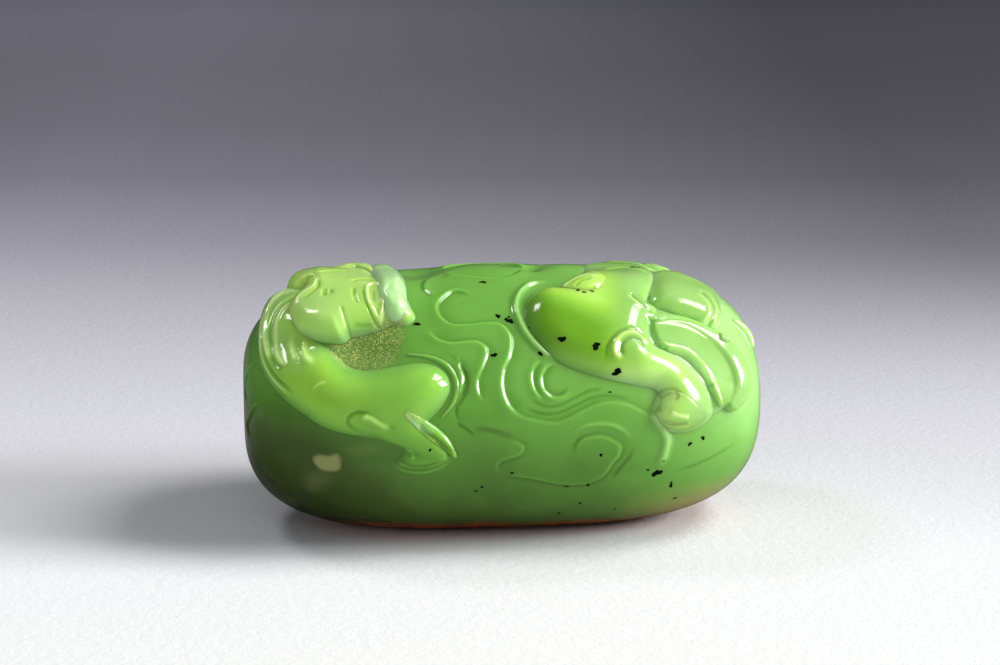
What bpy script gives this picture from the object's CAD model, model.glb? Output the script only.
"""A carved jade pebble with two hornless dragons among clouds, dressed around its CAD frame.

The stone is described by stations: a share of its half length, from -1 to 1, and an angle about its
long axis, 0 at the front, 90 on top, 180 behind. Every carved form is a height over that plain stone.
A point of a carved path is a pixel (x, y) of the 1000 x 665 photograph, traced by hand, or a station
(share, angle) where the photograph doesn't reach. Lengths are in millimetres until a mesh is made.
"""

import math

import bpy
import numpy as np
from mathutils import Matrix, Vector
from mathutils.bvhtree import BVHTree


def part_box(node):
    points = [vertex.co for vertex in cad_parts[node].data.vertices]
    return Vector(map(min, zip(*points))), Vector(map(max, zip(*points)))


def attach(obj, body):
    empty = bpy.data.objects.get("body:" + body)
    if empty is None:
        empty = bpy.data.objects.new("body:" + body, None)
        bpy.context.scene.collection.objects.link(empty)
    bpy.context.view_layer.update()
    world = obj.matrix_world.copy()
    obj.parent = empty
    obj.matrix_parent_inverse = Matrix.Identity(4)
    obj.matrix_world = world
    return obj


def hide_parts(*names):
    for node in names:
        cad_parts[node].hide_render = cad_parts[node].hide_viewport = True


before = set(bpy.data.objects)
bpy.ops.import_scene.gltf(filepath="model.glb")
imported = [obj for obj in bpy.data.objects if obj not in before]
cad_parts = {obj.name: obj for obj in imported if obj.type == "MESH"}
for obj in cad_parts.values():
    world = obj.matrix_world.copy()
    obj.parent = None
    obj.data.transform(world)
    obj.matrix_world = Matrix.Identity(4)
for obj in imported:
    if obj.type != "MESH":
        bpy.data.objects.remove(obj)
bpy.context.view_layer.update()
MM = 0.001

# ---- The plain stone, from the CAD body's box
low, high = (np.array(corner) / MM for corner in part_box("stone_body"))
SQUARENESS = 3.3  # exponent of the outline, as in the CAD
BASE_CUT = 0.9  # ground off the bottom, as in the CAD
HALF_LENGTH = (high[0] - low[0]) / 2
HALF_DEPTH = (high[1] - low[1]) / 2
HALF_HEIGHT = (high[2] - low[2] + BASE_CUT) / 2
CENTRE = HALF_HEIGHT - BASE_CUT
GIRTH_RADIUS, WINDOW_RADIUS = 17, 15  # about its long axis: the middle value, and a low one for windows

# ---- Limits of the carved surface, and steps of its making
CEILING, CEILING_TURN = 32.74, 0.14  # the relief's top was cut back nearly level
END_LIMIT, BACK_LIMIT, FRONT_LIMIT, LIMIT_TURN = 32.35, 19.8, 19.85, 0.12
BASE_TURN, BASE_SINK = 0.2, 0.01  # rounding of the edge of the flat ground base
SKIRT, THICKNESS = 2.4, 1.0  # a piece ends this deep in the stone, and its underside lies deeper
MARGIN, POLE_GAP = 1.9, 0.4  # a piece's grid goes this far round its outlines and ends short of the poles
STATION_END, CURVE_END = 0.995, 0.997  # shares that stations and curves don't pass
SEARCH = np.arange(-60, 30, 0.05)  # steps along a line of sight, about the aim's distance
SAMPLE = 0.2  # spacing of a curve's samples
EVERYWHERE = 1e9
CHUNK = 8000  # points compared with a curve at once
CLEARANCE, DIVE = 0.04, 4  # of a piece draped over another: its gap, and its slope outside the cover
CUT_WIDTH = 0.2  # half width of the step in a slanting cut
CUT_HIGH, CUT_LOW, CUT_LOW_FALL = 0.55, 0.45, 0.8  # shares of its height over and under, and of its fall
CUT_LIGHT, CUT_DARK = (0.45, 0.2), (0.6, 0.24)  # strength and width of the lines along the step
FULL_RISE = 1.5  # height at which the relief's own colour is full
MARK_START, MARK_TURN = -0.35, 0.5  # height from which marks show on a piece
MASKS = ("edge", "rise", "frost", "cream", "pale", "deep")

# ---- The camera, at the photograph's angle
FRAME_WIDTH, FRAME_HEIGHT = 1000, 665
LENS, SENSOR = 100.0, 36.0
FOCAL = FRAME_WIDTH * LENS / SENSOR  # in pixels
AZIMUTH, ELEVATION, DISTANCE = math.radians(-6.0), math.radians(13.0), 350.0
AIM = np.array([0.0, 0.0, 23.75])
BACKWARD = np.array([math.cos(ELEVATION) * math.sin(AZIMUTH), -math.cos(ELEVATION) * math.cos(AZIMUTH),
                     math.sin(ELEVATION)])
EYE = AIM + DISTANCE * BACKWARD
RIGHTWARD = np.cross(-BACKWARD, [0, 0, 1])
RIGHTWARD /= np.linalg.norm(RIGHTWARD)
UPWARD = np.cross(RIGHTWARD, -BACKWARD)


# ---- Geometry of the stone
def outline_radius(share):
    return np.maximum(0, 1 - np.abs(share) ** SQUARENESS) ** (1 / SQUARENESS)


def on_stone(share, angle):
    """Points of the plain stone at stations."""
    turn, radius = np.radians(angle), outline_radius(share)
    return np.stack([HALF_LENGTH * share + 0 * turn, -HALF_DEPTH * radius * np.cos(turn),
                     CENTRE + HALF_HEIGHT * radius * np.sin(turn)], -1)


def outward(share, angle):
    """Directions straight out of the plain stone at stations."""
    turn, radius = np.radians(angle), outline_radius(share)
    along = np.sign(share) * np.abs(share) ** (SQUARENESS - 1) / HALF_LENGTH
    around = radius ** (SQUARENESS - 1)
    out = np.stack([along + 0 * turn, -around * np.cos(turn) / HALF_DEPTH,
                    around * np.sin(turn) / HALF_HEIGHT], -1)
    return out / np.linalg.norm(out, axis=-1, keepdims=True)


def sight(px, py):
    """The direction from the eye through a pixel."""
    right, down = (px - FRAME_WIDTH / 2), (py - FRAME_HEIGHT / 2)
    along = -BACKWARD + RIGHTWARD * right / FOCAL - UPWARD * down / FOCAL
    return along / np.linalg.norm(along)


def station(px, py, lift=0.0):
    """The station under a pixel, on the stone swollen by lift."""
    points = EYE + (DISTANCE + SEARCH)[:, None] * sight(px, py)
    share = points[:, 0] / (HALF_LENGTH + lift)
    deep, tall = points[:, 1] / (HALF_DEPTH + lift), (points[:, 2] - CENTRE) / (HALF_HEIGHT + lift)
    field = np.abs(share) ** SQUARENESS + (deep**2 + tall**2) ** (SQUARENESS / 2) - 1
    hits = np.nonzero(field <= 0)[0]
    index = hits[0] if len(hits) else int(np.argmin(field))
    angle = math.degrees(math.atan2(tall[index], -deep[index]))
    return min(max(float(share[index]), -STATION_END), STATION_END), angle


def knot(point, lift=0.0):
    """A point of a path as a station."""
    return point if abs(point[0]) < 1 else station(*point, lift)


def curve(points, lift=0.0, closed=False):
    """Stations along a smooth curve through a path's points."""
    knots = np.array([knot(point, lift) for point in points])
    count = len(knots)
    path = []
    for i in range(count if closed else count - 1):
        near = (i + k for k in (-1, 0, 1, 2))
        a, b, c, d = (knots[k % count if closed else min(max(k, 0), count - 1)] for k in near)
        steps = max(2, int(np.linalg.norm(on_stone(*b) - on_stone(*c)) / SAMPLE))
        t = np.arange(steps)[:, None] / steps
        path.append(0.5 * (2 * b + (c - a) * t + (2 * a - 5 * b + 4 * c - d) * t**2
                           + (3 * b - a - 3 * c + d) * t**3))
    if not closed:
        path.append(knots[-1:])
    path = np.concatenate(path)
    path[:, 0] = np.clip(path[:, 0], -CURVE_END, CURVE_END)
    return path


def smooth(x):
    """0 below 0, 1 above 1, and an even turn between."""
    x = np.clip(x, 0, 1)
    return x * x * (3 - 2 * x)


def fade(place, ends):
    """1 along a curve, falling to 0 over the share ends at each of its two ends."""
    return smooth(place / ends) * smooth((1 - place) / ends) if ends else 1


def swell(distance, height, width, power=2.6):
    """A rounded form: rises from its edge (distance 0) to its height at width, and dives outside."""
    u = np.minimum(distance / width, 1)
    return height * (1 - (1 - u) ** power)


def merge(a, b, soft=0.25):
    """The higher of two heights, blended where they cross."""
    return soft * np.logaddexp(a / soft, b / soft)


def draped(cover, base, rise):
    """Laid over another form's surface inside the cover, rising by rise, and diving outside."""
    return np.where(cover > 0, np.maximum(base, 0) + CLEARANCE + rise * cover, DIVE * cover)


class Field:
    """Heights over the plain stone, and masks for the materials, at a set of stations."""

    def __init__(self, share, angle):
        self.share, self.angle = share, angle
        self.x = share * HALF_LENGTH
        self.points = on_stone(share, angle)
        self.height = np.zeros(len(share))
        self.mask = {name: np.zeros(len(share)) for name in MASKS}

    def near(self, path, reach=EVERYWHERE, closed=False):
        """Indices within reach of a curve, with distance, side (-1 or 1) and place along it (0 to 1)."""
        line = on_stone(path[:, 0], path[:, 1])
        close = np.all((self.points > line.min(0) - reach) & (self.points < line.max(0) + reach), axis=1)
        index = np.nonzero(close)[0]
        there = self.points[index]
        nearest = np.empty(len(index), int)
        for start in range(0, len(index), CHUNK):
            some = there[start : start + CHUNK]
            gaps = (some**2).sum(1)[:, None] + (line**2).sum(1)[None] - 2 * some @ line.T
            nearest[start : start + CHUNK] = gaps.argmin(1)
        # distance to the nearer of the two segments that meet at the nearest sample
        distance = np.full(len(index), np.inf)
        for step in (-1, 1):
            other = (nearest + step) % len(line) if closed else np.clip(nearest + step, 0, len(line) - 1)
            start, run = line[nearest], line[other] - line[nearest]
            t = np.clip(((there - start) * run).sum(1) / np.maximum((run**2).sum(1), 1e-12), 0, 1)
            distance = np.minimum(distance, np.linalg.norm(there - start - t[:, None] * run, axis=1))
        keep = distance < reach
        index, distance, nearest = index[keep], distance[keep], nearest[keep]
        ahead = np.gradient(line, axis=0)[nearest]
        out = outward(path[nearest, 0], path[nearest, 1])
        side = np.sign(np.einsum("ij,ij->i", np.cross(out, ahead), self.points[index] - line[nearest]))
        return index, distance, side, nearest / (len(line) - 1)

    def line(self, points, height, width, ends=0.12, glow=1.0, lift=0.0):
        """A ridge, or a groove where height is negative, that fades at its two ends."""
        index, distance, _, place = self.near(curve(points, lift), 3 * width)
        shape = np.exp(-((distance / width) ** 2)) * fade(place, ends)
        self.height[index] += height * shape
        self.mask["edge"][index] += glow * np.sign(height) * shape

    def bump(self, point, height, width, lift=0.0):
        """A round swelling, or a hollow where height is negative."""
        distance = np.linalg.norm(self.points - on_stone(*knot(point, lift)), axis=1)
        self.height += height * np.exp(-((distance / width) ** 2))

    def mark(self, rows, lift=0.0):
        """Lines (path, height, width, ends, glow) and bumps (point, height, width), lift over the stone."""
        for place, *sizes in rows:
            (self.bump if isinstance(place, tuple) else self.line)(place, *sizes, lift=lift)

    def cut(self, points, height, fall, ends=0.12):
        """A slanting cut: the right hand of the curve's direction stays high and the left drops at once.

        A light line runs along the edge of the high side and a dark one along its foot.
        """
        index, distance, side, place = self.near(curve(points), 2.6 * fall)
        signed = -distance * side  # positive on the right
        drop = smooth(0.5 + signed / (2 * CUT_WIDTH))
        right = CUT_HIGH * height * np.exp(-((np.maximum(signed, 0) / fall) ** 2))
        left = -CUT_LOW * height * np.exp(-((np.minimum(signed, 0) / (CUT_LOW_FALL * fall)) ** 2))
        light = CUT_LIGHT[0] * np.exp(-(((signed - CUT_WIDTH) / CUT_LIGHT[1]) ** 2))
        dark = CUT_DARK[0] * np.exp(-(((signed + CUT_WIDTH) / CUT_DARK[1]) ** 2))
        self.height[index] += fade(place, ends) * (right * drop + left * (1 - drop))
        self.mask["edge"][index] += fade(place, ends) * (light - dark)

    def inside(self, outline, lift=0.0):
        """Signed distance to a closed outline, positive inside."""
        path = curve(outline, lift, closed=True)
        index, distance, _, _ = self.near(path, closed=True)
        x, y = self.share, self.angle
        within = np.zeros(len(index), bool)
        for (x0, y0), (x1, y1) in zip(path, np.roll(path, -1, axis=0)):
            if y0 != y1:
                within ^= ((y0 > y) != (y1 > y)) & (x < (x1 - x0) * (y - y0) / (y1 - y0) + x0)
        return np.where(within, distance, -distance)

    def pad(self, outline, lift, height, width, power=2.6):
        """Height of a rounded form that fills a closed outline."""
        return swell(self.inside(outline, lift), height, width, power)

    def band(self, points, half_widths, height, lift=0.0, power=2.6):
        """Height of a rounded band along a curve, its half widths spread evenly over its points."""
        _, distance, _, place = self.near(curve(points, lift))
        half_width = np.interp(place, np.linspace(0, 1, len(half_widths)), half_widths)
        tall = height * (half_width / max(half_widths)) ** 0.6
        return swell(half_width - distance, tall, half_width, power)

    def paint(self, name, outline, soft, lift=0.0):
        """A mask of 1 inside a closed outline that fades over soft."""
        painted = smooth(0.5 + self.inside(outline, lift) / (2 * soft))
        self.mask[name] = np.maximum(self.mask[name], painted)


# ---- Lengths along the stone's outline, from its left end
SHARES = np.sin(np.linspace(-math.pi / 2, math.pi / 2, 6001))
STEPS = np.linalg.norm(np.diff(on_stone(SHARES, np.full(6001, 90.0)), axis=0), axis=1)
LENGTHS = np.concatenate([[0], np.cumsum(STEPS)])


def share_at(length):
    return np.interp(length, LENGTHS, SHARES)


def length_at(share):
    return np.interp(share, SHARES, LENGTHS)


# ---- Meshes
def soft_cap(value, limit, turn=LIMIT_TURN):
    return value - turn * np.logaddexp(0, (value - limit) / turn)


def settle(points):
    """Keeps points over the flat ground base and within the limits of the carved surface."""
    x, y, z = points.T
    z = soft_cap(z, CEILING, CEILING_TURN)
    z = 0.5 * (z + np.sqrt(z**2 + BASE_TURN**2)) - BASE_SINK
    y = -soft_cap(-soft_cap(y, BACK_LIMIT), FRONT_LIMIT)
    x = -soft_cap(-soft_cap(x, END_LIMIT), END_LIMIT)
    return np.stack([x, y, np.maximum(z, 0)], 1)


def make_object(name, verts, faces, masks):
    mesh = bpy.data.meshes.new(name)
    mesh.from_pydata((np.asarray(verts) * MM).tolist(), [], faces)
    mesh.polygons.foreach_set("use_smooth", [True] * len(mesh.polygons))
    for mask, values in masks.items():
        layer = mesh.attributes.new(mask, "FLOAT", "POINT")
        layer.data.foreach_set("value", np.clip(values, -2, 2).astype(np.float32))
    obj = bpy.data.objects.new(name, mesh)
    bpy.context.scene.collection.objects.link(obj)
    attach(obj, "root")
    return obj


carved = []  # (object, vertices, faces) of every carved piece


def carve(name, nodes, box, shape, spacing):
    """A closed piece over the window box of stations: its top is the height that shape gives."""
    (x0, y0), (x1, y1) = np.min(box, 0), np.max(box, 0)
    narrow = min(outline_radius(x) for x in (x0, x1, (x0 + x1) / 2))
    turn = math.degrees(MARGIN / (GIRTH_RADIUS * max(narrow, 0.25)))
    s0, s1 = max(length_at(x0) - MARGIN, POLE_GAP), min(length_at(x1) + MARGIN, LENGTHS[-1] - POLE_GAP)
    rows = max(4, int((s1 - s0) / spacing))
    columns = max(4, int(math.radians(y1 - y0 + 2 * turn) * GIRTH_RADIUS / spacing))
    share = share_at(np.linspace(s0, s1, rows))
    angle = np.linspace(y0 - turn, y1 + turn, columns)
    field = Field(np.repeat(share, columns), np.tile(angle, rows))
    shape(field)
    lifted = field.height.reshape(rows, columns) > -SKIRT
    keep = lifted[:-1, :-1] | lifted[1:, :-1] | lifted[1:, 1:] | lifted[:-1, 1:]
    # cells that touch only at a corner would leave the mesh open there
    for _ in range(3):
        keep[1:, :-1] |= keep[:-1, :-1] & keep[1:, 1:] & ~keep[1:, :-1] & ~keep[:-1, 1:]
        keep[:-1, :-1] |= ~keep[:-1, :-1] & ~keep[1:, 1:] & keep[1:, :-1] & keep[:-1, 1:]
    ident = np.arange(rows * columns).reshape(rows, columns)
    i, j = np.nonzero(keep)
    top = np.stack([ident[i, j], ident[i + 1, j], ident[i + 1, j + 1], ident[i, j + 1]], 1)
    used = np.unique(top)
    top = np.searchsorted(used, top)
    padded = np.pad(keep, 1)
    walls = []
    for di, dj, a, b in ((0, -1, 0, 1), (1, 0, 1, 2), (0, 1, 2, 3), (-1, 0, 3, 0)):
        open_side = ~padded[i + 1 + di, j + 1 + dj]
        p, q = top[open_side, a], top[open_side, b]
        walls.append(np.stack([q, p, p + len(used), q + len(used)], 1))
    faces = np.concatenate([top, top[:, ::-1] + len(used), *walls]).tolist()
    places = field.share[used], field.angle[used]
    base, out = on_stone(*places), outward(*places)
    tall = np.maximum(field.height[used], -SKIRT)
    verts = settle(np.concatenate([base + out * tall[:, None], base - out * (SKIRT + THICKNESS)]))
    masks = {mask: np.tile(values[used], 2) for mask, values in field.mask.items()}
    obj = make_object(name, verts, faces, masks)
    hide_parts(*nodes)
    carved.append((obj, verts, faces))


def window(points, lift=0.0, reach=0.0):
    """The stations that a curve covers, with reach around them."""
    path = curve(points, lift)
    turn = math.degrees(reach / WINDOW_RADIUS)
    x0, x1 = share_at(length_at(np.array([path[:, 0].min(), path[:, 0].max()])) + [-reach, reach])
    return np.array([[x0, path[:, 1].min() - turn], [x1, path[:, 1].max() + turn]])


def form(name, height, marks, paths, spacing=0.15, finish=None, nodes=None):
    """A carved piece of a given height over the stone, within the windows of its paths.

    Marks come in groups, each a lift over the stone followed by rows for Field.mark.
    """

    def shape(field):
        field.height = height(field)
        field.mask["rise"] = smooth(field.height / FULL_RISE)
        cuts = Field(field.share, field.angle)
        for lift, *rows in marks:
            cuts.mark(rows, lift)
        field.height = field.height + cuts.height * smooth((field.height - MARK_START) / MARK_TURN)
        field.mask["edge"] = cuts.mask["edge"]
        if finish:
            finish(field)

    box = np.concatenate([window(*path) for path in paths])
    carve(f"carved_{name}", nodes or [name], box, shape, spacing)


def band_form(name, points, half_widths, height, marks=(), power=2.6, lift=0.0, spacing=0.15):
    form(name, lambda field: field.band(points, half_widths, height, lift, power), marks,
         [(points, lift, max(half_widths))], spacing)


# ---- The stone, with the clouds cut into it
CLOUD_CUTS = (  # path, height, fall, ends
    # long scroll: a curl under the head, a shoulder, and a run to the right
    ([(470, 296), (463, 292), (453, 292), (444, 297), (438, 305), (440, 315), (450, 323), (466, 324),
      (484, 322), (499, 323), (508, 330), (512, 341), (510, 356), (504, 371), (503, 388), (508, 403),
      (516, 412), (524, 417)], 0.36, 1.2, 0.07),
    ([(514, 411), (522, 416), (534, 419), (554, 422), (569, 417), (584, 409), (598, 403), (612, 401),
      (626, 403), (640, 409), (652, 416)], 0.15, 1.2, 0.1),
    # middle scroll, from the large dragon's chin
    ([(428, 330), (437, 338), (450, 342), (464, 341), (477, 341), (486, 347), (487, 356), (483, 367),
      (478, 381), (479, 393), (484, 402)], 0.32, 1.0),
    # flank arcs beside the large dragon
    ([(457, 356), (461, 367), (463, 379), (461, 390), (456, 400)], 0.30, 0.8, 0.25),
    # paired arcs under the small dragon's chest
    ([(541, 361), (534, 369), (532, 379), (536, 391), (544, 399)], 0.30, 0.7, 0.2),
    ([(556, 364), (547, 368), (542, 378), (544, 389), (552, 396), (562, 395), (570, 387)], 0.36, 0.7, 0.2),
    # lower spiral
    ([(577, 454), (576, 446), (581, 439), (590, 436), (601, 435), (613, 439), (621, 446), (619, 456),
      (612, 464), (607, 472), (599, 479), (585, 484), (568, 485), (551, 483), (532, 479),
      (505, 475)], 0.22, 1.0, 0.08),
    ([(504, 439), (516, 441), (524, 447), (520, 455), (508, 459), (499, 463), (498, 469),
      (504, 474)], 0.15, 0.8, 0.25),
    # lens-shaped relief and valleys along the top
    ([(-0.22, 84), (-0.12, 79), (-0.02, 77), (0.05, 81), (0.08, 88)], 0.42, 1.3),
    ([(0.10, 92), (0.04, 100), (-0.06, 103), (-0.17, 100), (-0.22, 93)], 0.4, 1.6),
    ([(-0.28, 66), (-0.31, 72), (-0.29, 80), (-0.22, 86)], 0.25, 0.9),
    # left end
    ([(252, 366), (247, 374), (244, 388), (246, 402)], 0.3, 0.8),
    ([(258, 404), (252, 411), (247, 424), (250, 438)], 0.3, 0.8),
    # the side away from the eye
    ([(-0.70, 182), (-0.77, 176), (-0.80, 184), (-0.75, 190), (-0.66, 193), (-0.56, 191), (-0.46, 183),
      (-0.36, 186), (-0.26, 194), (-0.12, 196), (0.02, 190), (0.10, 184)], 0.42, 1.4, 0.06),
    ([(0.22, 174), (0.15, 176), (0.13, 184), (0.20, 191), (0.31, 190), (0.38, 181), (0.37, 171),
      (0.31, 164)], 0.42, 1.3, 0.08),
    ([(0.26, 176), (0.21, 180), (0.24, 186), (0.31, 184), (0.33, 177)], 0.35, 0.9),
    ([(-0.20, 158), (-0.12, 163), (-0.06, 171), (-0.09, 181), (-0.18, 184)], 0.4, 1.3),
    ([(-0.34, 168), (-0.28, 163), (-0.22, 167), (-0.22, 175)], 0.35, 1.0),
    ([(-0.05, 112), (0.06, 108), (0.16, 112), (0.20, 122), (0.14, 132)], 0.4, 1.3),
    ([(-0.30, 116), (-0.20, 113), (-0.12, 119), (-0.14, 128)], 0.38, 1.1),
    ([(0.52, 200), (0.62, 196), (0.70, 201), (0.68, 210), (0.58, 214), (0.44, 212), (0.30, 208)], 0.4, 1.3),
    ([(-0.10, 212), (-0.24, 216), (-0.38, 213), (-0.46, 206), (-0.42, 199)], 0.38, 1.2),
    ([(0.93, 200), (0.955, 185), (0.95, 170)], 0.3, 0.9),
    ([(-0.955, 175), (-0.965, 160), (-0.955, 145)], 0.3, 0.9),
)
CLOUD_LINES = (  # path, height, width, ends, glow
    # along the long scroll's run to the right
    ([(524, 407), (538, 413), (554, 414), (570, 408), (586, 400), (600, 396), (614, 396),
      (630, 399)], -0.08, 0.2),
    ([(530, 400), (544, 406), (556, 406), (572, 399), (588, 391), (604, 389)], -0.05, 0.2),
    # flank arcs beside the large dragon
    ([(447, 352), (456, 361), (465, 373), (467, 385), (462, 399), (456, 408), (457, 418),
      (463, 427)], -0.10, 0.22, 0.25),
    # rim of the ground round the small dragon's chest
    ([(547, 281), (532, 284), (521, 292), (516, 304), (518, 317), (526, 333), (539, 348),
      (555, 361)], 0.42, 0.42, 0.15, 1.6),
    # lower spiral
    ([(570, 434), (581, 427), (594, 424), (606, 424), (617, 427), (626, 433), (630, 442)], 0.17, 0.26, 0.3),
    ([(634, 446), (629, 457), (619, 469), (611, 480)], -0.07, 0.25, 0.3),
    ([(470, 428), (486, 430), (500, 433), (516, 439)], -0.06, 0.35, 0.3),
    # stem under the small dragon's paw
    ([(655, 402), (656, 416), (663, 428), (667, 440), (664, 454), (658, 468)], 0.34, 0.55, 0.2, 1.5),
    ([(669, 472), (690, 467), (712, 457), (739, 441)], -0.08, 0.25, 0.3),
    # line round the large dragon's foot
    ([(394, 458), (397, 466), (408, 471), (424, 472), (440, 467), (453, 457)], 0.12, 0.22, 0.2),
    # bright edges of the cream patch
    ([(336, 454), (340, 461), (343, 468)], -0.02, 0.16, 0.1, 3.0),
    ([(312, 458), (314, 464), (318, 468)], -0.02, 0.14, 0.1, 2.0),
    # hatched edge of the ground by the large dragon's foot
    *(([(457 + 3 * k, 422 + 2 * k), (462 + 3 * k, 428 + 2 * k)], -0.04, 0.14, 0.3) for k in range(5)),
)
CLOUD_BUMPS = (  # point, height, width
    # hatched edge of the ground by the large dragon's foot
    ((463, 425), -0.12, 1.6),
    # lens-shaped relief and valleys along the top
    ((-0.31, 91), -0.75, 3.0),
    ((0.115, 90), -0.6, 1.3),
    ((-0.06, 90), 0.55, 4.0),
    ((-0.20, 90), 0.2, 3.0),
    ((0.26, 92), 0.3, 3.0),
    # frosted hollow between the large dragon's jaw and body
    ((356, 352), -0.7, 2.6),
    ((384, 350), -0.4, 2.2),
)


def clouds(field):
    """The scrolls and arcs of the cloud ground, cut in slanting steps."""
    for row in CLOUD_CUTS:
        field.cut(*row)
    field.mark(CLOUD_LINES + CLOUD_BUMPS)
    field.paint("frost", [(328, 350), (342, 336), (358, 330), (376, 326), (394, 322), (403, 330), (399, 346),
                          (394, 358), (376, 369), (360, 372), (344, 368)], 1.0)
    field.paint("cream", [(313, 459), (319, 455), (328, 456), (337, 454), (341, 461), (339, 469), (330, 471),
                          (319, 468)], 0.35)
    smear = Field(field.share, field.angle)
    smear.paint("cream", [(344, 450), (358, 446), (377, 447), (375, 452), (358, 453)], 0.7)
    smear.paint("cream", [(306, 476), (322, 472), (330, 477), (322, 486), (310, 490)], 1.2)
    field.mask["cream"] = np.maximum(field.mask["cream"], 0.22 * smear.mask["cream"])


def make_body():
    rings = share_at(np.linspace(0, LENGTHS[-1], 500)[1:-1])
    # finer on the side that the photograph shows
    around = np.concatenate([np.arange(-45, 112, 0.5), np.arange(112, 315, 1.0)])
    count, columns = len(rings), len(around)
    field = Field(np.repeat(rings, columns), np.tile(around, count))
    clouds(field)
    base, out = on_stone(field.share, field.angle), outward(field.share, field.angle)
    poles = np.array([[-HALF_LENGTH, 0, CENTRE], [HALF_LENGTH, 0, CENTRE]])
    verts = settle(np.concatenate([base + out * field.height[:, None], poles]))
    i, j = (a.ravel() for a in np.meshgrid(np.arange(count - 1), np.arange(columns), indexing="ij"))
    k = (j + 1) % columns
    sides = np.stack([i * columns + j, (i + 1) * columns + j, (i + 1) * columns + k, i * columns + k], 1)
    left, right, last = count * columns, count * columns + 1, (count - 1) * columns
    around_pole = [(a, (a + 1) % columns) for a in range(columns)]
    caps = [[left, a, b] for a, b in around_pole] + [[right, last + b, last + a] for a, b in around_pole]
    faces = sides.tolist() + caps
    masks = {mask: np.append(values, [0, 0]) for mask, values in field.mask.items()}
    obj = make_object("jade_body_with_clouds", verts, faces, masks)
    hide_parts("stone_body", *[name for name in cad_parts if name.startswith("cloud_")])
    carved.append((obj, verts, faces))


make_body()

# ---- The large dragon
BODY = [(-0.76, 92), (289, 284), (272, 293), (261, 308), (255, 325), (254, 343), (256, 361), (263, 377),
        (274, 392), (287, 405), (302, 416), (319, 427), (340, 434), (364, 438), (392, 441), (414, 437),
        (428, 421), (441, 407), (449, 391), (448, 378), (440, 368), (428, 363), (411, 362), (388, 367),
        (365, 371), (350, 369), (341, 364), (331, 353), (320, 340), (312, 322), (311, 300)]
SHIN = [(378, 424), (394, 431), (410, 438), (426, 446), (440, 456)]
FOOT = [(396, 464), (401, 456), (408, 449), (424, 447), (440, 450), (451, 456), (446, 464), (434, 469),
        (416, 471), (402, 469)]
LARGE_BODY_MARKS = (
    (0,
     # hollow of the neck behind the cheek, with its folds
     ((283, 343), -0.8, 1.6),
     ((297, 350), -1.0, 1.9),
     ((311, 350), -0.5, 1.7)),
    (1.0, ([(288, 332), (286, 343), (289, 354), (295, 364)], 0.40, 0.5, 0.3),
     ([(300, 336), (298, 347), (302, 358), (311, 367)], 0.40, 0.42, 0.3),
     ([(275, 364), (281, 368), (288, 366)], -0.12, 0.2, 0.3),
     # bands of the mane
     ([(306, 282), (286, 290), (270, 303), (260, 322), (257, 342), (260, 362), (270, 380),
       (288, 398)], 0.20, 0.20, 0.12, 2.0),
     ([(306, 284), (288, 292), (273, 304), (263, 322), (260, 342), (264, 362), (275, 379),
       (292, 394)], -0.24, 0.20, 0.12, 0.8),
     ([(307, 286), (292, 291), (277, 299), (267, 312), (263, 328), (263, 345),
       (268, 361)], 0.34, 0.40, 0.12, 2.6),
     ([(309, 287), (303, 293), (290, 299), (277, 310), (270, 325), (267, 341), (270, 358),
       (280, 373)], -0.28, 0.22, 0.12, 0.8),
     ([(306, 295), (293, 302), (281, 313), (274, 328), (272, 344), (276, 358),
       (286, 370)], 0.18, 0.24, 0.12, 2.0)),
    (1.2,
     # tick on the shoulder, curl of the thigh and the hollow behind it
     ([(309, 391), (315, 386), (323, 383)], 0.12, 0.16, 0.3)),
    (0.6, ([(300, 418), (322, 431), (346, 438), (372, 441)], 0.01, 1.0, 0.3, 0.7)),
    (1.2, ([(396, 432), (382, 425), (368, 416), (355, 412), (346, 416), (344, 423), (350, 430),
       (362, 433)], -0.24, 0.26, 0.25),
     ([(386, 429), (376, 423), (366, 417), (357, 417)], 0.34, 0.36, 0.2, 1.8)),
    (0.5,
     # claws
     ([(403, 451), (409, 451), (412, 456), (408, 459)], 0.14, 0.18, 0.2),
     ([(398, 458), (408, 465), (424, 466), (440, 461)], -0.08, 0.2, 0.2)),
)


def large_body(field):
    torso = field.pad(BODY, 0.5, 1.75, 4.4)
    torso = np.where(torso > 0, torso * (0.72 + 0.28 * smooth((field.x + 30) / 10)), torso)
    shin = field.band(SHIN, [1.4, 1.7, 1.7, 1.6, 1.0], 1.0, 0.5)
    return merge(merge(torso, shin, 0.35), field.pad(FOOT, 0.3, 0.65, 1.8, 2.2), 0.15)


def large_body_finish(field):
    field.paint("frost", [(326, 349), (342, 336), (362, 330), (392, 324), (404, 334), (398, 352), (388, 364),
                          (364, 370), (346, 368), (334, 358)], 0.6)
    field.paint("pale", [(268, 302), (290, 290), (306, 292), (296, 306), (290, 326), (298, 346), (318, 360),
                         (306, 372), (284, 366), (266, 350), (262, 322)], 1.6)
    field.mask["pale"] *= 0.45
    field.mask["rise"] = field.mask["rise"] * (1 - 0.5 * smooth((field.x + 24) / 8))


form("large_dragon_body", large_body, LARGE_BODY_MARKS,
     [(BODY, 0.5), (SHIN, 0.5, 2.3), (FOOT, 0.3)], 0.12, large_body_finish,
     [f"large_dragon_{part}" for part in ("mane", "shoulder", "haunch", "thigh", "shin", "paw")])

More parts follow.
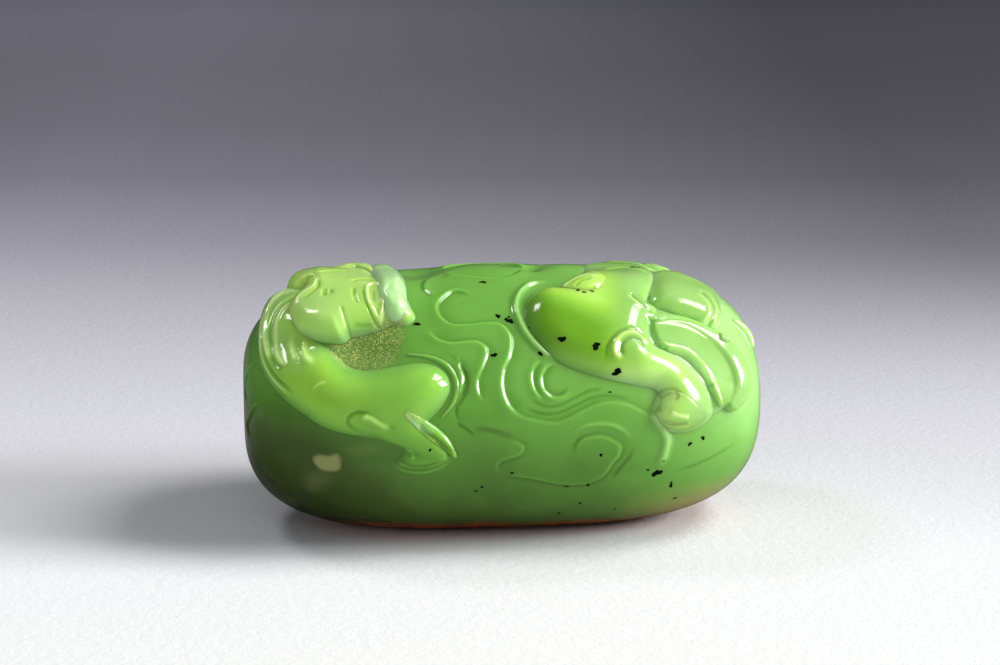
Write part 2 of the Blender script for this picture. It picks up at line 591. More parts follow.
HEAD = [(-0.46, 108), (-0.405, 94), (401, 272), (403, 288), (408, 301), (413, 312), (408, 319), (398, 322),
        (386, 322), (372, 326), (357, 329), (345, 332), (336, 338), (322, 339), (305, 337), (291, 333),
        (282, 323), (280, 311), (287, 300), (297, 290), (-0.82, 98), (-0.77, 112), (-0.67, 117), (-0.55, 115)]
HEAD_TOP = ([-28, -25, -22, -20.8, -19.5, -17, -16, -14, -11],
            [2.5, 2.4, 2.0, 1.65, 1.4, 1.0, 0.65, 0.5, 0.5])  # height over the stone by x
EYE_RIM = [(361, 289), (367, 285), (374, 286), (378, 293), (378, 304), (373, 316), (367, 311), (362, 301),
           (361, 289)]
HEAD_MARKS = (
    (1.8, ([(335, 308), (338, 319), (342, 329), (341, 337)], -0.13, 0.17, 0.15),
     ([(333, 309), (336, 318), (338, 326)], 0.06, 0.18, 0.2, 2.2),
     ([(348, 289), (348, 297), (352, 306)], -0.16, 0.18, 0.2),
     ([(319, 291), (318, 299)], -0.28, 0.24, 0.2),
     ([(325, 290), (325, 297)], -0.18, 0.2, 0.2),
     # rim of the eye and the lines nested under it
     (EYE_RIM, 0.26, 0.17, 0, 1.8),
     ([(358, 291), (360, 302), (365, 313), (371, 320), (377, 316), (380, 305)], -0.22, 0.18),
     ([(345, 322), (356, 321), (366, 320)], -0.12, 0.16, 0.25),
     ([(372, 320), (376, 316), (380, 308)], 0.2, 0.2, 0.2, 1.8),
     ([(378, 270), (375, 280), (378, 292), (382, 306), (389, 317)], -0.2, 0.26)),
    (1.6, ([(310, 281), (310, 288), (303, 294), (295, 300), (290, 309)], 0.14, 0.22, 0.12, 1.8),
     ([(313, 283), (313, 291), (305, 298), (297, 304)], -0.16, 0.22, 0.2)),
    (1.8, ([(312, 275), (326, 270), (342, 268)], -0.16, 0.24),
     ([(345, 283), (352, 279), (362, 279), (372, 283)], -0.12, 0.3),
     ((310, 322), 0.25, 2.2)),
)


def head(field):
    height = field.pad(HEAD, 1.0, 1.0, 3.2, 2.8)
    top = smooth((field.angle - 62) / 26)
    level = np.interp(field.x, *HEAD_TOP)
    return np.where(height > 0, height * ((1 - top) * 2.1 + top * level), height * 2.0)


def head_finish(field):
    field.paint("pale", [(284, 312), (300, 300), (322, 302), (340, 312), (344, 330), (326, 336), (300, 334),
                         (286, 326)], 1.6, 1.2)
    field.mask["pale"] *= 0.25
    field.paint("pale", [(384, 270), (398, 269), (402, 288), (406, 304), (396, 316), (388, 310), (384, 292)],
                         0.5, 1.5)
    field.paint("frost", [(372, 322), (388, 318), (402, 318), (404, 330), (384, 336), (370, 334)], 0.9, 1.0)


form("large_dragon_head", head, HEAD_MARKS, [(HEAD, 1.0)], 0.11, head_finish)

MUZZLE = [(-0.42, 103), (-0.395, 93), (401, 275), (402, 285), (403, 294), (406, 304), (403, 312), (394, 317),
          (381, 315), (373, 305), (369, 293), (368, 280), (-0.51, 92), (-0.49, 101)]
MUZZLE_MARKS = (
    (2.0, ([(380, 291), (390, 292), (403, 291)], -0.22, 0.5)),
    (2.2, ([(397, 279), (399, 284), (400, 289)], 0.12, 0.22)),
    (2.0, ((407, 313), 0.5, 0.6)),
    (2.2, ([(398, 306), (403, 308), (402, 313)], -0.16, 0.18)),
)


def muzzle(field):
    cover = field.pad(MUZZLE, 1.6, 1.0, 1.5, 2.2)
    own = (2.5 - 1.6 * smooth((field.angle - 62) / 28)) * cover
    return np.where(cover > 0, merge(0.85 * np.maximum(head(field), 0) + 0.5 * cover, own, 0.2), 4 * cover)


def all_pale(field):
    field.mask["pale"] += 1.25


form("large_dragon_muzzle", muzzle, MUZZLE_MARKS, [(MUZZLE, 1.6)], 0.1, all_pale)

EYEBALL = [(365, 292), (369, 290), (373, 293), (374, 301), (371, 310), (367, 304)]
EYE_MARKS = (
    (2.0, ([(366, 295), (369, 303), (371, 310)], 0.16, 0.10, 0.1, 2.0),
     ([(369, 292), (371, 300), (372, 308)], -0.2, 0.12, 0.1)),
)
form("large_dragon_eye", lambda field: field.pad(EYEBALL, 1.8, 2.35, 0.6, 2.2), EYE_MARKS, [(EYEBALL, 1.8)],
     0.06)

EAR_MARKS = (
    (2.2, ([(290, 286), (299, 282), (307, 280)], -0.16, 0.18)),
)
band_form("large_dragon_ear", [(288, 285), (296, 281), (305, 278), (311, 279)], [0.4, 0.65, 0.65, 0.4], 2.3,
          EAR_MARKS, 2.2, 1.8, 0.09)

CREST_MARKS = (
    (0, ((-0.675, 93), 0.4, 0.75), ((-0.585, 93), 0.6, 0.75), ((-0.54, 92), 0.35, 0.75),
     ((-0.635, 92), -0.5, 0.75), ((-0.555, 84), 0.25, 0.75),
     ([(-0.63, 86), (-0.56, 84), (-0.50, 80)], -0.2, 0.25)),
)
band_form("large_dragon_crest", [(-0.71, 93), (-0.65, 97), (-0.57, 98), (-0.52, 95), (-0.495, 88)],
          [0.7, 1.3, 1.6, 1.4, 0.7], 1.7, CREST_MARKS, 2.2, spacing=0.1)

# hair: a strip over the shin's edge, crossed by fine hatching
FRINGE = [(405, 415), (417, 423), (430, 433), (443, 444), (454, 458)]
HAIRS = [(409 + 2.5 * k, 419 + 2.05 * k) for k in range(18)]
HATCHING = [row for x, y in HAIRS for row in (([(x - 3, y + 3), (x + 3, y - 3)], -0.05, 0.10, 0.05),
                                              ([(x - 1, y - 4), (x + 3, y + 5)], -0.035, 0.10, 0.05))]


def fringe(field):
    cover = field.band(FRINGE, [0.4, 0.75, 0.85, 0.7, 0.25], 1.0, 0.8, 1.8)
    strip = np.maximum(draped(cover, large_body(field), 0.18), 0.75 * np.sqrt(np.maximum(cover, 0)))
    return np.where(cover > 0, strip, 4 * cover)


form("large_dragon_fringe", fringe, [(1.0, *HATCHING)], [(FRINGE, 0.8, 1.2)], 0.08,
     lambda field: field.paint("pale", FRINGE[:3] + [(410, 425)], 0.6, 0.8))

band_form("large_dragon_flank_band",
          [(407, 353), (428, 356), (444, 363), (454, 376), (456, 390), (451, 405), (441, 417)],
          [0.15, 0.3, 0.36, 0.36, 0.3, 0.15], 0.22, (), 2.2, 0.4, 0.09)

NAPE = [(-0.74, 104), (-0.80, 112), (-0.84, 124), (-0.85, 138), (-0.80, 148)]
band_form("large_dragon_nape", NAPE, [1.4, 1.8, 2.0, 2.0, 1.6], 0.75, [(0, (NAPE, -0.3, 0.35))])

HIP_MARKS = (
    (0, ([(-0.66, 160), (-0.58, 163), (-0.50, 158), (-0.50, 151), (-0.56, 150)], -0.4, 0.4),
     ([(-0.68, 157), (-0.58, 159), (-0.52, 155)], 0.2, 0.4)),
)
band_form("large_dragon_hip",
          [(-0.80, 146), (-0.72, 147), (-0.64, 149), (-0.55, 150), (-0.46, 148), (-0.38, 144)],
          [2.0, 3.0, 4.6, 5.2, 4.6, 3.0], 1.7, HIP_MARKS)

HIND_LEG_MARKS = (
    (0, ([(-0.37, 178), (-0.345, 182), (-0.35, 186)], -0.3, 0.26),
     ([(-0.335, 178), (-0.315, 182), (-0.32, 186)], -0.3, 0.26)),
)
band_form("large_dragon_hind_leg", [(-0.56, 162), (-0.50, 170), (-0.43, 177), (-0.34, 182), (-0.30, 181)],
          [1.6, 2.0, 1.7, 1.5, 1.0], 1.3, HIND_LEG_MARKS)

TAIL = [(-0.37, 142), (-0.24, 135), (-0.12, 139), (-0.02, 151), (0.09, 160), (0.20, 158), (0.26, 147)]
band_form("large_dragon_tail", TAIL, [1.2, 1.7, 1.8, 1.7, 1.5, 1.3, 0.8], 1.4, [(0, (TAIL, -0.28, 0.3))])

# ---- The small dragon
CHEST = [(552, 284), (540, 286), (530, 293), (525, 304), (526, 317), (533, 333), (545, 348), (560, 360),
         (582, 370), (610, 378), (640, 385), (660, 390), (657, 402), (655, 414), (661, 425), (672, 433),
         (686, 435), (702, 430), (714, 421), (718, 410), (715, 397), (708, 382), (697, 368), (685, 358),
         (672, 350), (660, 344), (653, 334), (655, 322), (660, 306), (650, 298), (656, 284), (0.60, 88),
         (0.56, 100), (0.42, 104), (0.32, 98), (584, 267), (572, 277), (562, 284)]
SMALL_TAIL = [(648, 312), (657, 316), (670, 317), (690, 321), (708, 330), (724, 342), (737, 357), (744, 373),
              (745, 389), (738, 403)]
HOLLOW = [(652, 320), (690, 318), (722, 336), (742, 370), (744, 398), (728, 410), (716, 412), (708, 384),
          (690, 362), (664, 348)]
SMALL_BODY_MARKS = (
    (1.8,
     # curl of the elbow
     ([(655, 346), (653, 339), (640, 333), (627, 336), (620, 344), (620, 354),
       (628, 360)], 0.24, 0.26, 0.12, 1.8),
     ([(651, 348), (645, 341), (636, 339), (628, 343), (626, 350), (629, 357)], -0.22, 0.22, 0.15),
     ([(658, 341), (644, 330), (629, 330), (618, 337), (611, 348), (611, 361)], -0.12, 0.22, 0.2),
     ((645, 353), 0.35, 1.6),
     ((640, 314), 0.25, 3.0),
     # crease between shoulder and knee
     ([(635, 291), (642, 298), (651, 304), (660, 307)], -0.30, 0.24, 0.2),
     ([(632, 294), (640, 301), (650, 307)], 0.14, 0.26, 0.2, 1.6)),
    (1.0, ([(608, 268), (624, 266), (640, 268), (652, 272)], -0.16, 0.3)),
    (0.8,
     # thin lower edge of the chest, where the light comes through
     ([(546, 344), (562, 357), (586, 367), (614, 375), (644, 382)], 0.01, 1.0, 0.2, 0.7)),
    (1.2,
     # the paw on the leg's end
     ([(668, 400), (665, 394), (670, 389), (678, 390), (684, 396), (680, 401)], -0.12, 0.18),
     ([(666, 403), (662, 414), (666, 426), (676, 432)], -0.14, 0.2, 0.2)),
)


def small_body(field):
    chest = field.pad(CHEST, 0.7, 1.0, 4.0, 2.5)
    top = smooth((field.angle - 66) / 22)
    front = 1.75 - 0.4 * smooth((field.x - 19) / 6)
    level = 0.55 + 0.5 * smooth((field.x - 12) / 8)
    chest = np.where(chest > 0, chest * (front * (1 - top) + level * top), 1.7 * chest)
    tail = field.band(SMALL_TAIL, [0.8, 0.9, 0.9, 0.95, 1.1, 1.4, 1.65, 1.75, 1.65, 1.1], 1.3, 0.9, 5.0)
    # the tail's inner side slopes down to the strand
    inside = field.inside(HOLLOW, 0.8)
    _, distance, _, _ = field.near(curve(SMALL_TAIL, 0.9))
    slope = np.clip(0.85 - 0.22 * (distance - 1.1), 0.1, 0.85)
    hollow = np.where(inside > 0, slope * smooth(inside / 0.9), inside)
    return merge(merge(chest, tail, 0.2), hollow, 0.12)


def small_body_finish(field):
    field.paint("deep", [(526, 300), (548, 300), (580, 312), (606, 322), (616, 344), (612, 366), (584, 366),
                         (550, 350), (532, 330)], 2.2, 0.7)
    field.paint("pale", [(640, 306), (672, 318), (712, 334), (742, 366), (746, 398), (722, 412), (700, 430),
                         (670, 428), (672, 396), (640, 380), (624, 362), (640, 336)], 2.0, 0.9)
    field.mask["pale"] *= 0.12


form("small_dragon_body", small_body, SMALL_BODY_MARKS, [(CHEST, 0.7), (SMALL_TAIL, 0.9, 2.0)],
     0.125, small_body_finish, [f"small_dragon_{part}" for part in ("chest", "elbow", "leg", "tail")])


def on_small_body(name, cover, rise, marks, path, spacing, finish=None):
    """A piece laid over the small dragon's body, with cover giving its height of 0 to 1."""
    form(f"small_dragon_{name}", lambda field: draped(cover(field), small_body(field), rise), marks, [path],
         spacing, finish)


ALMOND = [(562, 284), (567, 278), (578, 271), (592, 268), (604, 272), (609, 280), (606, 287), (598, 292),
          (587, 293), (573, 290)]
ALMOND_MARKS = (
    (2.2, ([(566, 285), (578, 289), (590, 289), (602, 285)], -0.16, 0.16),
     ([(566, 282), (576, 275), (590, 272), (602, 276)], 0.2, 0.2, 0.12, 1.6),
     ([(580, 284), (586, 279), (596, 278)], -0.14, 0.18)),
)
on_small_body("head", lambda field: field.pad(ALMOND, 1.4, 1.0, 1.3, 2.4), 0.36, ALMOND_MARKS,
              (ALMOND, 1.4), 0.09)

KNEE = [(656, 301), (652, 288), (654, 277), (0.60, 92), (0.68, 98), (0.78, 94), (0.85, 84), (726, 303),
        (728, 316), (722, 325), (708, 322), (692, 315), (673, 309)]
KNEE_MARKS = (
    (1.6, ([(654, 276), (656, 286), (658, 296), (664, 303)], -0.2, 0.26),
     ([(706, 288), (718, 300), (722, 311), (718, 322)], -0.26, 0.24),
     ([(701, 290), (712, 300), (716, 310), (712, 319)], 0.14, 0.28),
     ([(662, 300), (680, 306), (700, 312), (714, 316)], -0.14, 0.3, 0.25)),
)
form("small_dragon_knee",
     lambda field: field.pad(KNEE, 0.8, 1.0, 3.0) * (1.3 - 0.5 * smooth((field.angle - 64) / 20)),
     KNEE_MARKS, [(KNEE, 0.8)], 0.13)

STRAND = [(662, 341), (677, 346), (692, 351), (704, 362), (714, 375), (720, 390), (724, 405)]
STRAND_MARKS = [(1.2, *((ring, height, width) for ring in ((671, 346), (717, 385))
                        for height, width in ((0.3, 0.6), (-0.4, 0.28))))]
STRAND_WIDTHS = [0.4, 0.7, 0.75, 0.8, 0.75, 0.65, 0.35]
on_small_body("strand", lambda field: field.band(STRAND, STRAND_WIDTHS, 1.0, 0.9, 2.0), 0.32, STRAND_MARKS,
              (STRAND, 0.9, 0.9), 0.08)

BEAD = [(724, 335), (726, 330), (731, 328), (736, 331), (737, 336), (734, 341), (729, 342), (725, 339)]
BEAD_MARKS = (
    (2.0, ([(727, 335), (730, 331), (734, 333), (734, 338), (730, 339), (727, 335)], -0.14, 0.14, 0)),
)
on_small_body("bead", lambda field: field.pad(BEAD, 1.4, 1.0, 0.7, 2.0), 0.35, BEAD_MARKS, (BEAD, 1.4), 0.07)

PAW = [(664, 404), (668, 396), (678, 392), (690, 397), (700, 405), (708, 416), (700, 426), (686, 431),
       (672, 428), (665, 418)]
PAW_MARKS = (
    (1.6, ([(676, 413), (684, 416), (694, 418)], 0.2, 0.24, 0.12, 1.6),
     ([(671, 421), (682, 425), (694, 423)], -0.12, 0.2),
     ([(669, 401), (667, 395), (672, 391), (679, 392), (683, 397), (679, 401)], -0.14, 0.16)),
)


def paw_finish(field):
    field.paint("pale", PAW, 0.8, 1.0)
    field.mask["pale"] *= 0.15


on_small_body("paw", lambda field: field.pad(PAW, 1.0, 1.0, 2.0, 2.2), 0.08, PAW_MARKS, (PAW, 1.0), 0.09,
              paw_finish)

band_form("small_dragon_whisker", [(736, 320), (744, 326), (750, 334), (754, 344)], [0.3, 0.7, 0.8, 0.4], 0.6,
          (), 2.4, 0.3, 0.1)

SMALL_HIP_MARKS = (
    (0, ([(0.72, 116), (0.66, 112), (0.59, 115), (0.58, 123), (0.63, 127)], -0.36, 0.38),
     ([(0.70, 118), (0.65, 116), (0.61, 119)], 0.18, 0.38)),
)
band_form("small_dragon_hip", [(0.48, 116), (0.55, 120), (0.63, 125), (0.71, 130), (0.78, 136)],
          [2.6, 4.2, 4.8, 4.2, 2.6], 1.6, SMALL_HIP_MARKS)

band_form("small_dragon_hind_leg", [(0.62, 143), (0.57, 151), (0.51, 158), (0.45, 166), (0.42, 170)],
          [1.5, 1.9, 1.6, 1.4, 0.9], 1.3, [(0, ([(0.47, 166), (0.445, 169), (0.45, 172)], -0.3, 0.26))])

HAUNCH = [(0.80, 132), (0.85, 138), (0.89, 150), (0.89, 164), (0.85, 176), (0.78, 184)]
band_form("small_dragon_haunch_band", HAUNCH, [1.1, 1.5, 1.6, 1.6, 1.4, 0.9], 1.3,
          [(0, (HAUNCH, -0.26, 0.3))])

# ---- Black inclusions, let into the polished surface
SPECKS = (  # pixel, width and height in pixels, turn in degrees
    (417, 324, 8, 4, 15), (483, 282, 7, 4, 5), (498, 316, 5, 5, 0), (510, 321, 9, 5, 0), (506, 319, 4, 3, 0),
    (494, 355, 6, 5, 10), (540, 354, 7, 6, 0), (562, 339, 7, 6, -20), (596, 346, 8, 7, 0),
    (617, 372, 9, 7, 10), (601, 455, 4, 3, 0), (512, 473, 3, 3, 0), (567, 486, 5, 3, 0), (588, 485, 4, 3, 0),
    (580, 503, 4, 3, 0), (559, 513, 4, 3, 0), (615, 509, 3, 3, 0), (657, 473, 10, 8, 30),
    (671, 485, 4, 8, 10), (675, 498, 4, 4, 0), (703, 438, 5, 4, 0), (690, 444, 5, 4, 20), (476, 491, 4, 3, 0),
    (482, 487, 4, 3, 0), (430, 450, 3, 3, 0), (578, 290, 5, 3, 10), (584, 292, 4, 3, 0), (592, 291, 4, 3, 0),
    (529, 328, 3, 2, 0), (635, 267, 13, 3, -10), (509, 317, 3, 3, 0), (648, 470, 3, 3, 0),
    (664, 461, 3, 2, 0), (610, 392, 3, 2, 0),
)
SPECK_SIDES, LAG_RANGE = 16, 6.28
WOBBLES = ((0.22, 2), (0.16, 3), (0.12, 5))  # share of the radius, waves round the rim
RIM_SINK, DOME, TIP, ROOT = 0.01, 0.014, 0.018, 0.3  # a speck's levels about the surface
trees = [BVHTree.FromPolygons((verts * MM).tolist(), faces) for _, verts, faces in carved]


def surface_at(px, py):
    """The surface point and its normal under a pixel."""
    start, along = Vector(EYE * MM), Vector(sight(px, py))
    hits = [tree.ray_cast(start, along) for tree in trees]
    point, normal, _, _ = min((hit for hit in hits if hit[0] is not None), key=lambda hit: hit[3])
    return np.array(point) / MM, np.array(normal)


def inclusion(px, py, width, height, turn, seed):
    """A small irregular lens of dark mineral under a pixel."""
    point, normal = surface_at(px, py)
    if normal @ sight(px, py) > 0:
        normal = -normal
    across = np.cross(UPWARD, normal)
    across /= np.linalg.norm(across)
    up = np.cross(normal, across)
    turns = np.arange(SPECK_SIDES) * 2 * math.pi / SPECK_SIDES
    lags = np.random.RandomState(seed).uniform(0, LAG_RANGE, len(WOBBLES))
    reach = 1 + sum(share * np.sin(waves * turns + lag) for (share, waves), lag in zip(WOBBLES, lags))
    scale = 0.5 * DISTANCE / FOCAL
    u, v = width * scale * reach * np.cos(turns), height * scale * reach * np.sin(turns)
    c, s = math.cos(math.radians(turn)), math.sin(math.radians(turn))
    u, v = u * c - v * s, u * s + v * c
    rim = point + u[:, None] * across + v[:, None] * up
    rings = [rim - RIM_SINK * normal, point + 0.8 * (rim - point) + DOME * normal]
    verts = np.concatenate([*rings, [point + TIP * normal], [point - ROOT * normal]])
    faces = []
    for k in range(SPECK_SIDES):
        n = (k + 1) % SPECK_SIDES
        outer, inner, after = k, SPECK_SIDES + k, SPECK_SIDES + n
        faces += [[outer, n, after, inner], [inner, after, 2 * SPECK_SIDES], [n, outer, 2 * SPECK_SIDES + 1]]
    return verts, faces


lenses = [inclusion(*speck, seed) for seed, speck in enumerate(SPECKS)]
lens_faces = [[index * len(verts) + k for k in face]
              for index, (verts, faces) in enumerate(lenses) for face in faces]
specks = make_object("black_inclusions", np.concatenate([verts for verts, _ in lenses]), lens_faces,
                     {})


# ---- Materials
class Shader:
    """The cleared node tree of a material or of the world."""

    def __init__(self, owner):
        owner.use_nodes = True
        self.tree = owner.node_tree
        self.tree.nodes.clear()

    def node(self, kind, sockets=(), **settings):
        """A new node with its settings, and its sockets set to a number or colour or linked."""
        made = self.tree.nodes.new(f"ShaderNode{kind}")
        for name, value in settings.items():
            setattr(made, name, value)
        for name, value in dict(sockets).items():
            socket = made.inputs[name]
            if isinstance(value, bpy.types.NodeSocket):
                self.tree.links.new(value, socket)
            else:
                socket.default_value = (*value, 1) if socket.type == "RGBA" else value
        return made

    def math(self, operation, *values):
        return self.node("Math", enumerate(values), operation=operation).outputs[0]

    def times(self, a, b):
        return self.math("MULTIPLY", a, b)

    def add(self, tone, value, factor):
        """tone + value * factor"""
        return self.math("MULTIPLY_ADD", value, factor, tone)

    def mix(self, factor, a, b):
        return self.node("Mix", {0: factor, 6: a, 7: b}, data_type="RGBA").outputs[2]

    def noise(self, place, scale, detail=3.0, rough=0.5, distort=0.0):
        return self.node("TexNoise", {"Vector": place, "Scale": scale, "Detail": detail, "Roughness": rough,
                                      "Distortion": distort}).outputs[0]

    def remap(self, value, a, b, c=0.0, d=1.0, turn="SMOOTHSTEP"):
        """c where value is a or beyond, d where it is b or beyond."""
        return self.node("MapRange", enumerate((value, a, b, c, d)), interpolation_type=turn).outputs[0]

    def ramp(self, value, stops):
        made = self.node("ValToRGB", {0: value})
        elements = made.color_ramp.elements
        while len(elements) < len(stops):
            elements.new(0.5)
        for element, (place, colour) in zip(elements, stops):
            element.position = place
            element.color = (*srgb(*colour), 1)
        return made.outputs[0]

    def bump(self, height, strength, distance, normal=None):
        made = self.node("Bump", {"Height": height, "Strength": strength, "Distance": distance})
        if normal:
            self.tree.links.new(normal, made.inputs["Normal"])
        return made.outputs[0]

    def place(self):
        """Object coordinates, and their three parts."""
        place = self.node("TexCoord").outputs["Object"]
        return place, self.node("SeparateXYZ", {0: place}).outputs

    def finish(self, sockets):
        shader = self.node("BsdfPrincipled", sockets)
        self.node("OutputMaterial", {0: shader.outputs[0]})


def srgb(*levels):
    """The linear colour of red, green and blue levels of 0 to 255."""
    return tuple(((c / 255 + 0.055) / 1.055) ** 2.4 if c > 10 else c / 255 / 12.92 for c in levels)


# ramps of (place, sRGB levels)
GREENS = [(0.0, (46, 64, 12)), (0.2, (64, 88, 28)), (0.38, (88, 132, 50)), (0.55, (108, 166, 66)),
          (0.72, (130, 188, 88)), (0.95, (180, 228, 146))]
YELLOW_GREENS = [(0.0, (50, 76, 8)), (0.25, (80, 124, 16)), (0.45, (114, 168, 40)), (0.62, (140, 196, 66)),
                 (0.8, (170, 222, 84)), (1.0, (202, 243, 138))]
RUSSETS = [(0.3, (96, 44, 12)), (0.5, (190, 74, 28)), (0.7, (150, 104, 40))]
MINERALS = [(0.35, (4, 7, 4)), (0.7, (18, 34, 12))]
THIN_EDGE, LIT_VEIL, PALE_VEIN = srgb(226, 246, 160), srgb(164, 192, 146), srgb(190, 232, 175)
CREAM, DUSK, SPARK = srgb(158, 164, 104), srgb(96, 104, 40), srgb(234, 226, 140)
WARM_FOOT = srgb(214, 160, 112)
GROUND_SHIFT, RELIEF_SHIFT, BRIGHT_SHIFT = 0.025, 0.11, 0.21  # how much lighter than the ramp's own place


def jade(name, shift):
    """Green nephrite: clouded colour that lightens to the right and upwards, russet skin at the foot."""
    material = bpy.data.materials.new(name)
    s = Shader(material)
    place, (x, _, z) = s.place()
    x, z = s.times(x, 1 / MM), s.times(z, 1 / MM)
    clouds_large = s.noise(place, 45.0, 3.0, 0.5, 0.4)
    clouds_fine = s.noise(place, 240.0, 4.0, 0.6, 0.6)
    rise, edge, pale, deep, cream, frost = (
        s.node("Attribute", attribute_name=mask).outputs["Fac"]
        for mask in ("rise", "edge", "pale", "deep", "cream", "frost"))
    # the tone, a place on the ramps of green
    tone = s.add(0.135 + shift, s.math("MINIMUM", z, 21.0), 0.0235)
    tone = s.add(tone, x, 0.003)
    tone = s.math("ADD", tone, s.remap(x, 8.0, 26.0, 0.0, 0.14))
    dark = s.times(s.remap(x, -8.0, -28.0), s.remap(z, 26.0, 12.0))
    shoulder = s.times(s.remap(x, 10.0, 17.0), s.remap(z, 22.0, 27.0))
    lit = s.times(rise, s.math("MAXIMUM", shoulder, s.remap(x, 17.0, 24.0)))
    for value, factor in ((dark, -0.20), (rise, 0.12), (s.times(dark, rise), 0.10), (deep, -0.41),
                          (s.math("SUBTRACT", clouds_large, 0.5), 0.30),
                          (s.math("SUBTRACT", clouds_fine, 0.5), 0.10), (edge, 0.13), (lit, -0.46)):
        tone = s.add(tone, value, factor)
    colour = s.mix(rise, s.ramp(tone, GREENS), s.ramp(tone, YELLOW_GREENS))
    # light edges, the lit right side, pale muzzle and cream patch
    for amount, factor, tint in ((s.times(edge, rise), 0.22, THIN_EDGE), (lit, 0.45, LIT_VEIL),
                                 (pale, 0.6, PALE_VEIN), (cream, 0.75, CREAM)):
        colour = s.mix(s.times(amount, factor), colour, tint)
    # sparkling grain of the frosted hollow
    grain = s.node("TexVoronoi", {"Vector": place, "Scale": 6000.0}).outputs["Distance"]
    spark = s.times(s.remap(grain, 0.55, 0.25), s.remap(s.noise(place, 3600.0, 1.0), 0.36, 0.54))
    dusk = s.mix(s.times(frost, 0.35), colour, DUSK)
    colour = s.mix(s.times(s.times(frost, spark), 0.85), dusk, SPARK)
    # russet skin at the foot, and a warm glow at its right
    skin = s.add(z, s.math("SUBTRACT", s.noise(place, 90.0, 4.0, 0.65), 0.5), 3.2)
    russet = s.ramp(s.noise(place, 260.0, 4.0, 0.7), RUSSETS)
    colour = s.mix(s.times(s.remap(skin, 2.8, 0.9), 0.85), colour, russet)
    warm = s.times(s.remap(x, 10.0, 28.0), s.remap(z, 9.0, 2.0))
    colour = s.mix(s.times(warm, 0.6), colour, WARM_FOOT)
    polish = s.bump(s.noise(place, 900.0, 3.0, 0.6), 0.035, 0.0004)
    rough = s.add(s.add(0.10, clouds_fine, 0.10), frost, 0.28)
    s.finish({
        "Base Color": colour, "Roughness": rough, "IOR": 1.5, "Coat Weight": 0.3, "Coat Roughness": 0.04,
        "Subsurface Weight": 0.8, "Subsurface Radius": (0.7, 1.0, 0.35), "Subsurface Scale": 0.0018,
        "Normal": s.bump(s.noise(place, 3200.0, 2.0, 0.7), s.times(frost, 0.9), 0.00012, polish)})
    return material


def dark_mineral():
    material = bpy.data.materials.new("black_mineral")
    s = Shader(material)
    place, _ = s.place()
    colour = s.ramp(s.noise(place, 1800.0, 3.0, 0.6), MINERALS)
    s.finish({"Base Color": colour, "Roughness": 0.6, "Specular IOR Level": 0.0})
    return material


ground = jade("green_jade_ground", GROUND_SHIFT)
relief = jade("yellow_green_jade_relief", RELIEF_SHIFT)
bright_relief = jade("bright_jade_relief", BRIGHT_SHIFT)
BRIGHT = [f"carved_large_dragon_{part}" for part in ("head", "muzzle", "eye", "ear", "crest")]
for obj, _, _ in carved:
    own = ground if obj.name == "jade_body_with_clouds" else bright_relief if obj.name in BRIGHT else relief
    obj.data.materials.append(own)
specks.data.materials.append(dark_mineral())

# ---- Floor and backdrop, light and camera
FLOOR_REACH = 6
PAPER = [(0.04, (254, 255, 254)), (0.10, (250, 251, 253)), (0.14, (236, 236, 240)), (0.18, (229, 228, 234)),
         (0.22, (222, 221, 229)), (0.33, (197, 195, 205)), (0.41, (172, 170, 182)), (0.52, (148, 146, 159)),
         (0.64, (146, 144, 157)), (0.80, (158, 156, 170)), (1.0, (183, 181, 197))]
PAPER_START, PAPER_END = -0.08, 0.56  # where the ramp begins and ends, in depth behind the stone
RIGHT_SHADE = 0.64
MIRRORED_PAPER = srgb(60, 62, 58)
TURN_COS, TURN_SIN = 0.995, 0.105  # of the camera's azimuth


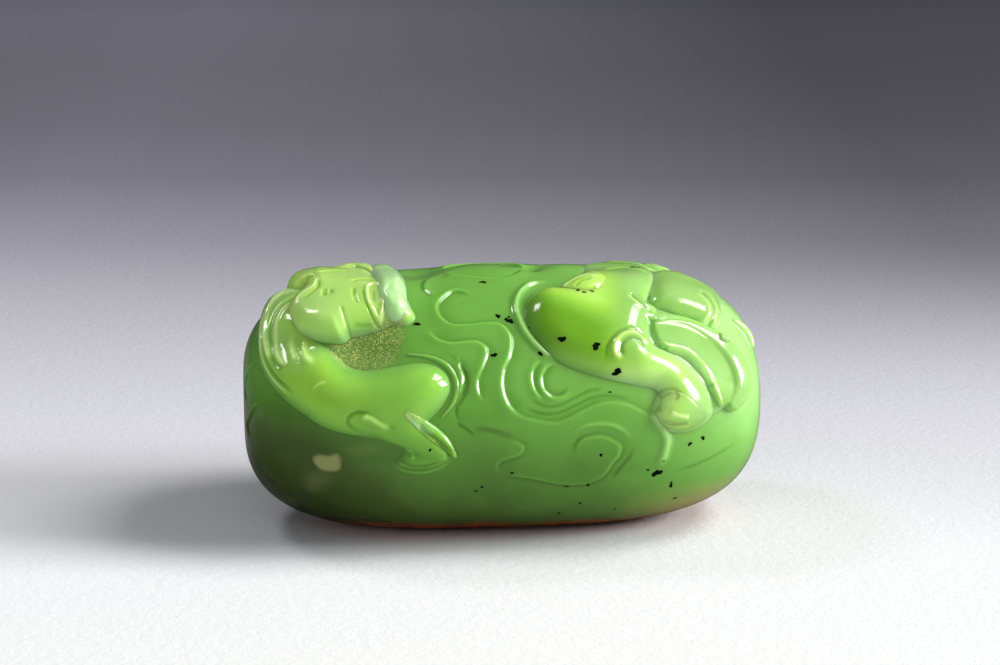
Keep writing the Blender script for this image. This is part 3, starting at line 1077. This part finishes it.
def make_floor():
    mesh = bpy.data.meshes.new("studio_floor")
    corners = [(x * FLOOR_REACH, y * FLOOR_REACH, 0) for x, y in ((-1, -1), (1, -1), (1, 1), (-1, 1))]
    mesh.from_pydata(corners, [], [[0, 1, 2, 3]])
    floor = bpy.data.objects.new("studio_floor", mesh)
    bpy.context.scene.collection.objects.link(floor)
    material = bpy.data.materials.new("pale_paper")
    s = Shader(material)
    place, (x, y, _) = s.place()
    # the paper darkens with its depth behind the stone and to the right, square to the photograph's view
    deep = s.add(s.times(y, TURN_COS), x, TURN_SIN)
    across = s.add(s.times(y, -TURN_SIN), x, TURN_COS)
    colour = s.ramp(s.remap(deep, PAPER_START, PAPER_END, turn="LINEAR"), PAPER)
    shade = s.times(s.remap(across, -0.0935, 0.087, turn="LINEAR"),
                    s.remap(deep, 0.048, 0.186, 0.5 * RIGHT_SHADE, RIGHT_SHADE))
    colour = s.mix(shade, colour, (0.0, 0.0, 0.0))
    mirrored = s.node("LightPath").outputs["Is Glossy Ray"]
    colour = s.mix(s.times(mirrored, 0.85), colour, MIRRORED_PAPER)
    s.finish({"Base Color": colour, "Roughness": 0.75,
              "Normal": s.bump(s.noise(place, 700.0, 4.0, 0.7), 0.25, 0.0006)})
    mesh.materials.append(material)


make_floor()


def softbox(name, place, size, power, mirrored=True):
    light = bpy.data.lights.new(name, "AREA")
    light.shape = "RECTANGLE"
    light.size, light.size_y = size
    light.energy = power
    obj = bpy.data.objects.new(name, light)
    obj.location = place
    obj.rotation_euler = (Vector((0, 0, 0.018)) - Vector(place)).to_track_quat("-Z", "Y").to_euler()
    obj.visible_glossy = mirrored
    bpy.context.scene.collection.objects.link(obj)


softbox("key_softbox", (0.60, -0.14, 0.26), (0.25, 0.23), 5.0)
softbox("top_softbox", (0.26, -0.03, 0.34), (0.19, 0.16), 1.15)
softbox("left_softbox", (-0.19, 0.13, 0.33), (0.09, 0.09), 0.24)
softbox("front_fill", (-0.06, -0.45, 0.32), (0.30, 0.24), 0.28, mirrored=False)
softbox("left_fill", (-0.34, -0.30, 0.12), (0.20, 0.20), 0.22, mirrored=False)

WORLD_COLOUR, WORLD_STRENGTH, MIRRORED_STRENGTH = (0.80, 0.80, 0.86), 0.14, 0.06
world = bpy.data.worlds.new("studio")
s = Shader(world)
mirrored = s.node("LightPath").outputs["Is Glossy Ray"]
strength = s.remap(mirrored, 0.0, 1.0, WORLD_STRENGTH, MIRRORED_STRENGTH, "LINEAR")
back = s.node("Background", {"Color": WORLD_COLOUR, "Strength": strength})
s.node("OutputWorld", {0: back.outputs[0]})
bpy.context.scene.world = world
bpy.context.scene.view_settings.view_transform = "Standard"

camera_data = bpy.data.cameras.new("camera")
camera_data.lens, camera_data.sensor_width = LENS, SENSOR
camera_data.clip_start, camera_data.clip_end = 0.01, 20
camera = bpy.data.objects.new("camera", camera_data)
camera.location = EYE * MM
camera.rotation_euler = Vector(-BACKWARD).to_track_quat("-Z", "Y").to_euler()
bpy.context.scene.collection.objects.link(camera)
bpy.context.scene.camera = camera
